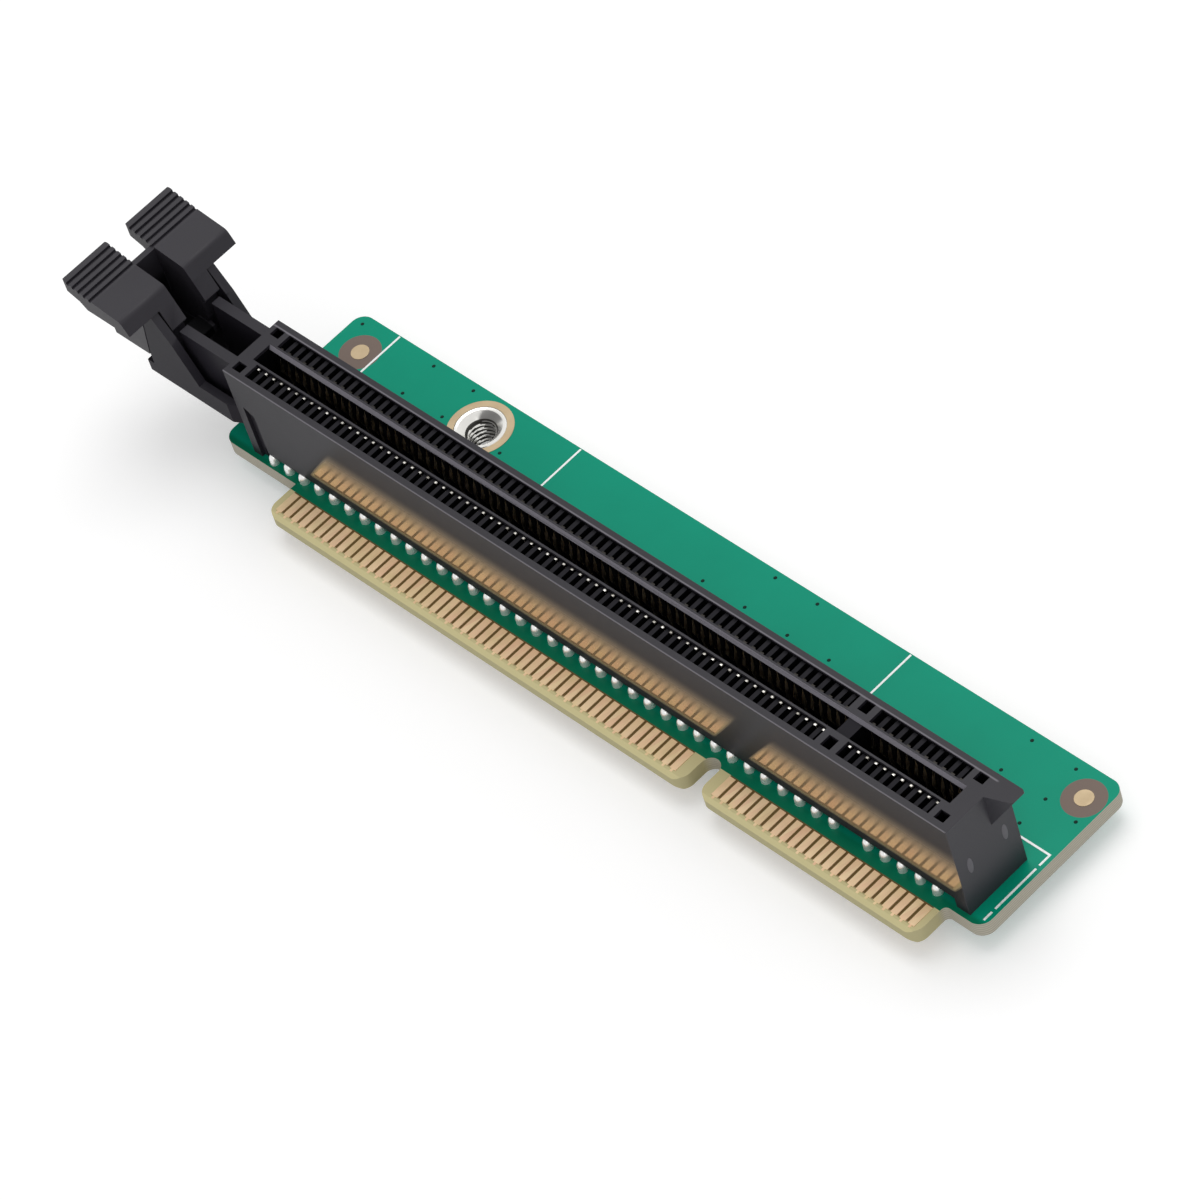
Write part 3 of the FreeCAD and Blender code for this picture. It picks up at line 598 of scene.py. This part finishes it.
# Contacts: phosphor-bronze strip, stamped and bent, gold-flashed above the board and tinned on the tails.
# Each tip has a painted glint at its middle, brighter on some than on others, with painted shade round it.
contact = {
    "spring": "#C8BBA6",
    "tin": "#C6C7C9",
    "tinBelow": 1.6,               # mm up from the board's middle
    "tinSoft": 0.15,               # mm
    # painted glint at the middle of each tip
    "tip": "#F2EFE8",
    "tipDull": "#8B877F",
    "tipAbove": 11.3,              # mm up from the board's middle
    "tipWidth": (0.04, 0.17),      # mm from the middle of a tip, full to none
    "backTip": "#2E2C2A",          # painted shade, on the back row's tips in the shade of their wall and round each tip's glint
    "pitch": 1.0,                  # mm
    "drawn": (0.125, 0.125, 2.0),  # mm, lines of the rolled strip, drawn wider than the real 0.01 mm
    "roughness": (0.22, 0.40),
    "metallic": 1.0,
}


def makeContactMaterial():
    material, tree, point = newMaterial("platedBronzeStrip")
    x, y, z = addNode(tree, "ShaderNodeSeparateXYZ", links={0: point}).outputs
    above = addNode(tree, "ShaderNodeMapRange", {"From Min": (contact["tinBelow"] - contact["tinSoft"]) * mm,
                                                 "From Max": (contact["tinBelow"] + contact["tinSoft"]) * mm},
                    {"Value": z})
    colour = addNode(tree, "ShaderNodeMix", {**mixColour, "A": linear(contact["tin"]),
                                             "B": linear(contact["spring"])}, {"Factor": above})
    # A painted glint at the middle of each front-row tip, brighter on some than on others; round it, and on
    # the back row, painted shade
    column = addNode(tree, "ShaderNodeMath", {"operation": "PINGPONG", 1: contact["pitch"] / 2 * mm}, {0: x})
    spot = addNode(tree, "ShaderNodeMapRange", {**fadeOut, "From Min": contact["tipWidth"][0] * mm,
                                                "From Max": contact["tipWidth"][1] * mm}, {"Value": column})
    island = addNode(tree, "ShaderNodeNewGeometry").outputs["Random Per Island"]
    tipColour = addNode(tree, "ShaderNodeMix", {**mixColour, "A": linear(contact["tipDull"]),
                                                "B": linear(contact["tip"])}, {"Factor": island})
    tipColour = addNode(tree, "ShaderNodeMix", {**mixColour, "A": linear(contact["backTip"])},
                        {"Factor": spot, "B": tipColour})
    backRow = region(tree, (y, "GREATER_THAN", slotMiddle * mm))
    tipColour = addNode(tree, "ShaderNodeMix", {**mixColour, "B": linear(contact["backTip"])},
                        {"Factor": backRow, "A": tipColour})
    tip = region(tree, (z, "GREATER_THAN", contact["tipAbove"] * mm))
    colour = addNode(tree, "ShaderNodeMix", mixColour, {"Factor": tip, "A": colour, "B": tipColour})
    drawn = addNode(tree, "ShaderNodeMapping", {"Scale": [perMetre(size) for size in contact["drawn"]]},
                    {"Vector": point})
    lines = addNode(tree, "ShaderNodeTexNoise", {"Scale": 1.0, "Detail": 2.0}, {"Vector": drawn})
    rough = addNode(tree, "ShaderNodeMapRange", {"To Min": contact["roughness"][0],
                                                 "To Max": contact["roughness"][1]}, {"Value": lines})
    shader = addNode(tree, "ShaderNodeBsdfPrincipled", {"Metallic": contact["metallic"]},
                     {"Base Color": colour, "Roughness": rough})
    addNode(tree, "ShaderNodeOutputMaterial", links={"Surface": shader})
    return material


# Metals with one colour, clouded by handling or by the way they set. The size of a cloud is in mm.
metals = {
    "meltedTinSolder": {  # wave-soldered, bright and smooth
        "bright": "#FEFEFD", "dull": "#F4F4F3", "roughness": (0.18, 0.34), "metallic": 0.6, "cloud": 1.43},
    "brightNickelPlate": {  # turned steel, plated
        "bright": "#F2F1ED", "dull": "#DEDCD7", "roughness": (0.12, 0.28), "metallic": 0.7, "cloud": 2.0},
    "threadRoot": {  # the thread's grooves, darkened with painted shade
        "bright": "#45433F", "dull": "#262523", "roughness": (0.34, 0.50), "metallic": 0.5, "cloud": 1.11},
    "immersionGold": {  # thin gold over etched copper, rather dull
        "bright": "#BCA98A", "dull": "#A39073", "roughness": (0.44, 0.60), "metallic": 0.8, "cloud": 1.67},
}
metalGrain = {
    "share": 1 / 6,                # of a cloud's size, as the real grain of 0.01 mm is too fine to show
    "depth": 0.03,                 # mm
    "strength": 0.10,
}


def makeMetalMaterial(name):
    metal = metals[name]
    material, tree, point = newMaterial(name)
    cloud = addNode(tree, "ShaderNodeTexNoise", {"Scale": perMetre(metal["cloud"]), "Detail": 3.0},
                    {"Vector": point})
    colour = addNode(tree, "ShaderNodeMix", {**mixColour, "A": linear(metal["bright"]),
                                             "B": linear(metal["dull"])}, {"Factor": cloud})
    rough = addNode(tree, "ShaderNodeMapRange", {"To Min": metal["roughness"][0],
                                                 "To Max": metal["roughness"][1]}, {"Value": cloud})
    grainSize = metal["cloud"] * metalGrain["share"]
    grain = addNode(tree, "ShaderNodeTexNoise", {"Scale": perMetre(grainSize), "Detail": 2.0},
                    {"Vector": point})
    bump = addNode(tree, "ShaderNodeBump", {"Strength": metalGrain["strength"],
                                            "Distance": metalGrain["depth"] * mm}, {"Height": grain})
    shader = addNode(tree, "ShaderNodeBsdfPrincipled", {"Metallic": metal["metallic"]},
                     {"Base Color": colour, "Roughness": rough, "Normal": bump})
    addNode(tree, "ShaderNodeOutputMaterial", links={"Surface": shader})
    return material


# Legend ink: screen-printed white epoxy, thin enough for the green to show through in places
legend = {
    "white": "#FFFFFF",
    "thin": "#D9E8E0",
    "thinRange": (0.55, 0.75),     # of the patches, none to full
    "patch": 0.385,                # mm, the mesh of the screen is 0.1 mm and too fine to show
    "roughness": 0.55,
    "height": 0.03,                # mm
}


def makeInkMaterial():
    material, tree, point = newMaterial("screenPrintedEpoxyInk")
    patch = addNode(tree, "ShaderNodeTexNoise", {"Scale": perMetre(legend["patch"]), "Detail": 2.0},
                    {"Vector": point})
    thin = addNode(tree, "ShaderNodeMapRange", {"From Min": legend["thinRange"][0],
                                                "From Max": legend["thinRange"][1]}, {"Value": patch})
    colour = addNode(tree, "ShaderNodeMix", {**mixColour, "A": linear(legend["white"]),
                                             "B": linear(legend["thin"])}, {"Factor": thin})
    shader = addNode(tree, "ShaderNodeBsdfPrincipled", {"Roughness": legend["roughness"]},
                     {"Base Color": colour})
    addNode(tree, "ShaderNodeOutputMaterial", links={"Surface": shader})
    return material


# Via caps: solder mask pulled down into each small hole, so a darker and deeper green
viaCap = {
    "dark": "#04201A",
    "rim": "#083429",
    "patch": 0.333,                # mm, about one cap
    "roughness": 0.32,
    "gloss": 0.08,
    "sides": 16,
    "profile": ((0, 0), (0.18, 0), (0.153, 0.03), (0.108, 0.035), (0.054, 0.012),
                (0, 0.008)),       # mm, radius and height above the board
}


def makeViaMaterial():
    material, tree, point = newMaterial("solderMaskInVia")
    patch = addNode(tree, "ShaderNodeTexNoise", {"Scale": perMetre(viaCap["patch"])}, {"Vector": point})
    colour = addNode(tree, "ShaderNodeMix", {**mixColour, "A": linear(viaCap["dark"]),
                                             "B": linear(viaCap["rim"])}, {"Factor": patch})
    shader = addNode(tree, "ShaderNodeBsdfPrincipled",
                     {"Roughness": viaCap["roughness"], "Specular IOR Level": viaCap["gloss"]},
                     {"Base Color": colour})
    addNode(tree, "ShaderNodeOutputMaterial", links={"Surface": shader})
    return material


boardMaterial = makeBoardMaterial()
fingerMaterial = makeFingerMaterial()
housingMaterial = makeHousingMaterial()
latchMaterial = makeLatchMaterial()
contactMaterial = makeContactMaterial()
solderMaterial, nickelMaterial, rootMaterial, padMaterial = [makeMetalMaterial(name) for name in metals]
inkMaterial = makeInkMaterial()
viaMaterial = makeViaMaterial()
print("materials made")


edgeRounding = {"segments": 2, "sharperThan": 35}  # degrees between the faces of an edge that gets a round


def dress(nodeName, material, edgeRound=0.0):  # a solid gets its material, and its edges a small round in mm
    solid = nodes[nodeName]
    solid.data.materials.clear()
    solid.data.materials.append(material)
    if edgeRound:
        weld = solid.modifiers.new("joinFaces", "WELD")
        weld.merge_threshold = joinWithin * mm
        rounding = solid.modifiers.new("edgeRound", "BEVEL")
        rounding.width = edgeRound * mm
        rounding.segments = edgeRounding["segments"]
        rounding.limit_method = "ANGLE"
        rounding.angle_limit = math.radians(edgeRounding["sharperThan"])
        rounding.harden_normals = True
        rounding.use_clamp_overlap = True


dress("circuit_board", boardMaterial)
dress("slot_housing", housingMaterial, housing["edgeRound"])
dress("retention_latch", latchMaterial, latch["edgeRound"])
for nodeName in nodes:
    if "gold_fingers" in nodeName:
        dress(nodeName, fingerMaterial)
    if "contacts" in nodeName:
        dress(nodeName, contactMaterial)
for nodeName in ("insert_pad_top", "insert_pad_bottom", "fiducial_pads"):
    dress(nodeName, padMaterial)
print("solids dressed")


def meshPiece(name, form, material, smoothTo=35):  # a bmesh becomes one piece, angle in degrees
    mesh = bpy.data.meshes.new(name)
    bmesh.ops.recalc_face_normals(form, faces=form.faces)
    form.to_mesh(mesh)
    form.free()
    mesh.materials.append(material)
    for face in mesh.polygons:
        face.use_smooth = True
    mesh.set_sharp_from_angle(angle=math.radians(smoothTo))
    piece = bpy.data.objects.new(name, mesh)
    bpy.context.scene.collection.objects.link(piece)
    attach(piece, "card")
    return piece


def bridge(form, low, high):  # faces between two rings, either of which may be a single point
    sides = max(len(low), len(high))
    for index in range(sides):
        after = (index + 1) % sides
        loop = [low[index % len(low)], low[after % len(low)],
                high[after % len(high)], high[index % len(high)]]
        loop = [vertex for place, vertex in enumerate(loop) if vertex not in loop[:place]]
        if len(loop) > 2:
            form.faces.new(loop)


def lathe(form, middle, profile, sides, wobble=0.0, turned=0.0):  # profile: (radius, height), all in mm
    rings = []
    for radius, z in profile:
        ring = []
        for index in range(sides if radius else 1):
            angle = 2 * math.pi * index / sides
            reach = radius * (1 + wobble * math.sin(angle * 2 + turned))
            ring.append(form.verts.new(((middle.x + reach * math.cos(angle)) * mm,
                                        (middle.y + reach * math.sin(angle)) * mm, z * mm)))
        rings.append(ring)
    for low, high in zip(rings, rings[1:]):
        bridge(form, low, high)


def addBox(form, low, high):  # corners in mm
    ends = [form.verts.new((x * mm, y * mm, z * mm)) for x in (low[0], high[0]) for y in (low[1], high[1])
            for z in (low[2], high[2])]
    for a, b, c, d in ((0, 1, 3, 2), (4, 6, 7, 5), (0, 4, 5, 1), (2, 3, 7, 6), (0, 2, 6, 4), (1, 5, 7, 3)):
        form.faces.new((ends[a], ends[b], ends[c], ends[d]))


# Solder joints in front of the housing: each wets its pad in a hollow sweep and ends in a round head
frontJoint = {
    "sides": 24,
    "footRadius": 0.47,            # mm
    "footTop": (0.98, 0.10),       # share of that radius, and mm up from the board
    "headRadius": 0.46,            # mm
    "height": 1.12,                # mm
    "shoulder": 0.42,              # share of the height where the head begins to close
    "headSteps": 8,
    "radiusSpread": (0.95, 1.05),
    "heightSpread": (0.95, 1.04),
    "wobble": 0.04,                # share of the radius that a joint is out of round
    "wobbleTurn": 5,               # radians that this turns for each mm along the row
}


def makeFrontJoints():
    form = bmesh.new()
    chance = random.Random(seed)
    foot = frontJoint["footRadius"]
    footShare, footHeight = frontJoint["footTop"]
    shoulder = frontJoint["shoulder"]
    for points in islands("solder_joints_front"):
        middle = middleOf(corners(points))
        head = frontJoint["headRadius"] * chance.uniform(*frontJoint["radiusSpread"])
        top = frontJoint["height"] * chance.uniform(*frontJoint["heightSpread"])
        profile = [(0, boardTop), (foot, boardTop), (foot * footShare, boardTop + footHeight)]
        for step in range(frontJoint["headSteps"]):
            turn = math.pi / 2 * step / frontJoint["headSteps"]
            profile.append((head * math.cos(turn),
                            boardTop + top * (shoulder + (1 - shoulder) * math.sin(turn))))
        profile.append((0, boardTop + top))
        lathe(form, middle, profile, frontJoint["sides"], frontJoint["wobble"],
              middle.x * frontJoint["wobbleTurn"])
    piece = meshPiece("front_solder_joints", form, solderMaterial, smoothTo=60)
    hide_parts("solder_joints_front")


# Underneath, every tail stands in the fillet that the solder wave left
wavedJoint = {
    "sides": 14,
    "tailEnd": 0.05,  # mm, the part of a tail that gives its place
    "profile": ((0, 0), (0.46, 0), (0.46, 0.03), (0.377, 0.19), (0.304, 0.475), (0.2625, 0.8075),
                (0.2, 0.95), (0, 0.95)),  # radius, and mm down from the board
}


def makeUndersideJoints():
    form = bmesh.new()
    profile = [(radius, boardBottom - down) for radius, down in wavedJoint["profile"]]
    for nodeName in sorted(nodes):
        if "contacts" not in nodeName:
            continue
        for points in islands(nodeName):
            lowest = min(point.z for point in points)
            tail = corners([point for point in points if point.z < lowest + wavedJoint["tailEnd"]])
            lathe(form, middleOf(tail), profile, wavedJoint["sides"])
    meshPiece("underside_solder_joints", form, solderMaterial, smoothTo=50)


# Threaded insert: the same turned body as the solid, with a real helical thread down its bore
insert = {
    "sides": 72,
    "shankRadius": 2.45,           # mm, in the board
    "chamfer": 0.12,               # mm
    "mouthRadius": 2.1,            # mm
    "mouthRound": (0.04, 0.05),    # mm to each side of the mouth's edge, and down
    "relief": 0.02,                # mm between the thread's root and the countersink
    "foot": 0.15,                  # mm without a thread at the bottom
    "pitch": 0.5,                  # mm
    "crestRadius": 1.25,           # mm
    "threadDepth": 0.27,           # mm
    "flankSlope": 1.25,            # over 1, so that crest and root are flat
    "crestShare": 0.1,
    "darkFrom": 0.45,              # share of the depth where the painted shade of the groove begins
    "stepsPerTurn": 8,
}


def makeInsert():
    low, high = boxOf("threaded_insert")
    middle = middleOf((low, high))
    body = (high.x - low.x) / 2
    shank = insert["shankRadius"]
    chamfer = insert["chamfer"]
    mouth = insert["mouthRadius"]
    mouthSide, mouthDown = insert["mouthRound"]
    crest = insert["crestRadius"]
    root = crest + insert["threadDepth"]
    throat = root + insert["relief"]
    sides = insert["sides"]
    form = bmesh.new()
    outside = [(root, low.z), (body - chamfer, low.z), (body, low.z + chamfer), (body, boardBottom),
               (shank, boardBottom), (shank, high.z - chamfer / 2), (shank - chamfer / 2, high.z),
               (mouth + mouthSide, high.z), (mouth - mouthSide, high.z - mouthDown),
               (throat, high.z - (mouth - throat))]
    lathe(form, middle, outside, sides)
    form.verts.ensure_lookup_table()
    bottomRing = form.verts[:sides]
    above = form.verts[-sides:]
    boreTop = high.z - (mouth - root)
    boreBottom = low.z + insert["foot"]
    steps = int((boreTop - boreBottom) / insert["pitch"] * insert["stepsPerTurn"])
    for step in range(steps + 1):
        z = boreTop + (boreBottom - boreTop) * step / steps
        ring = []
        for index in range(sides):
            turn = index / sides
            phase = (z / insert["pitch"] - turn) % 1.0
            ridge = (1 - abs(2 * phase - 1)) * insert["flankSlope"] - insert["crestShare"]
            radius = crest + insert["threadDepth"] * min(1.0, max(0.0, ridge))
            radius = max(radius, min(root, mouth - (high.z - z)))  # the countersink cuts the first turn away
            angle = 2 * math.pi * turn
            ring.append(form.verts.new(((middle.x + radius * math.cos(angle)) * mm,
                                        (middle.y + radius * math.sin(angle)) * mm, z * mm)))
        bridge(form, above, ring)
        above = ring
    bridge(form, above, bottomRing)
    piece = meshPiece("threaded_insert_turned", form, nickelMaterial, smoothTo=40)
    piece.data.materials.append(rootMaterial)
    # The deeper part of each groove gets the dark root metal, as painted shade
    groove = crest + insert["threadDepth"] * insert["darkFrom"]
    for face in piece.data.polygons:
        away = math.hypot(face.center.x / mm - middle.x, face.center.y / mm - middle.y)
        if groove < away < root and boreBottom < face.center.z / mm < boreTop:
            face.material_index = 1
    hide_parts("threaded_insert")


# Plating stubs: the thin conductors that joined the fingers while they were plated, cut off at the bevel
stub = {"width": 0.24, "reach": 0.42, "height": 0.03}  # mm, reach is from the tab's edge


def makePlatingStubs():
    form = bmesh.new()
    for nodeName in sorted(nodes):
        if "gold_fingers" not in nodeName:
            continue
        for points in islands(nodeName):
            low, high = corners(points)
            middle = (low.x + high.x) / 2
            base = boardTop if low.z > 0 else boardBottom - stub["height"]
            addBox(form, (middle - stub["width"] / 2, stub["reach"], base),
                   (middle + stub["width"] / 2, low.y, base + stub["height"]))
    meshPiece("plating_stubs", form, fingerMaterial)


# Legend bars on the board's top face: two corners of each, in mm
legendBars = [(-58.2, 11.8, -58.0, 21.5), (-34.6, 11.8, -34.4, 21.5), (5.9, 11.8, 6.1, 21.5),
              (26.2, 12.6, 30.25, 12.8), (30.05, 11.4, 30.25, 12.6), (30.05, 6.0, 30.25, 11.0),
              (30.05, 4.6, 30.25, 5.6)]


def makeLegendLines():
    form = bmesh.new()
    for left, front, right, back in legendBars:
        addBox(form, (left, front, boardTop), (right, back, boardTop + legend["height"]))
    meshPiece("legend_lines", form, inkMaterial)


# Vias between the layers, closed by the mask
viaPlaces = [(-62.2, 20.6), (-52.9, 20.8), (-47.7, 20.8), (-53.0, 16.9), (-47.9, 17.0), (-40.4, 17.0),
             (-14.8, 17.0), (-9.65, 17.0), (-9.7, 20.9), (-4.6, 20.9), (-4.4, 16.9), (0.5, 17.0),
             (20.8, 20.7), (20.75, 16.9), (25.9, 20.6), (25.9, 16.8), (25.8, 13.7), (29.6, 16.5)]


def makeViaCaps():
    form = bmesh.new()
    profile = [(radius, boardTop + height) for radius, height in viaCap["profile"]]
    for place in viaPlaces:
        lathe(form, Vector(place), profile, viaCap["sides"])
    meshPiece("via_caps", form, viaMaterial, smoothTo=60)


# Two oval witness marks on the housing's near end, where the mould's pins met the plastic
endMark = {
    "end": 28.9,                   # mm along the slot
    "offset": 2.1,                 # mm to each side of the slot's middle
    "height": 6.1,                 # mm up from the board's middle
    "halfWidth": 0.30,
    "halfHeight": 0.95,
    "rings": ((1.0, -0.05), (1.0, 0.01), (0.75, 0.03)),  # share of the size, mm out of the end
    "sides": 24,
    "grey": "#5A585F",
    "dull": "#4B494F",
    "patch": 0.667,                # mm, scuffs
    "roughness": 0.5,
}


def makeMarkMaterial():
    material, tree, point = newMaterial("scuffedBlackPolymer")
    patch = addNode(tree, "ShaderNodeTexNoise", {"Scale": perMetre(endMark["patch"]), "Detail": 3.0},
                    {"Vector": point})
    colour = addNode(tree, "ShaderNodeMix", {**mixColour, "A": linear(endMark["grey"]),
                                             "B": linear(endMark["dull"])}, {"Factor": patch})
    shader = addNode(tree, "ShaderNodeBsdfPrincipled", {"Roughness": endMark["roughness"]},
                     {"Base Color": colour})
    addNode(tree, "ShaderNodeOutputMaterial", links={"Surface": shader})
    return material


def makeEndMarks():
    form = bmesh.new()
    for side in (-1, 1):
        rings = []
        for share, out in endMark["rings"]:
            ring = []
            for index in range(endMark["sides"]):
                angle = 2 * math.pi * index / endMark["sides"]
                y = slotMiddle + side * endMark["offset"] + share * endMark["halfWidth"] * math.cos(angle)
                z = endMark["height"] + share * endMark["halfHeight"] * math.sin(angle)
                ring.append(form.verts.new(((endMark["end"] + out) * mm, y * mm, z * mm)))
            rings.append(ring)
        for low, high in zip(rings, rings[1:]):
            bridge(form, low, high)
        form.faces.new(rings[-1])
        form.faces.new(rings[0][::-1])
    meshPiece("housing_end_marks", form, makeMarkMaterial(), smoothTo=50)


makeFrontJoints()
makeUndersideJoints()
makeInsert()
makePlatingStubs()
makeLegendLines()
makeViaCaps()
makeEndMarks()
print("pieces made")
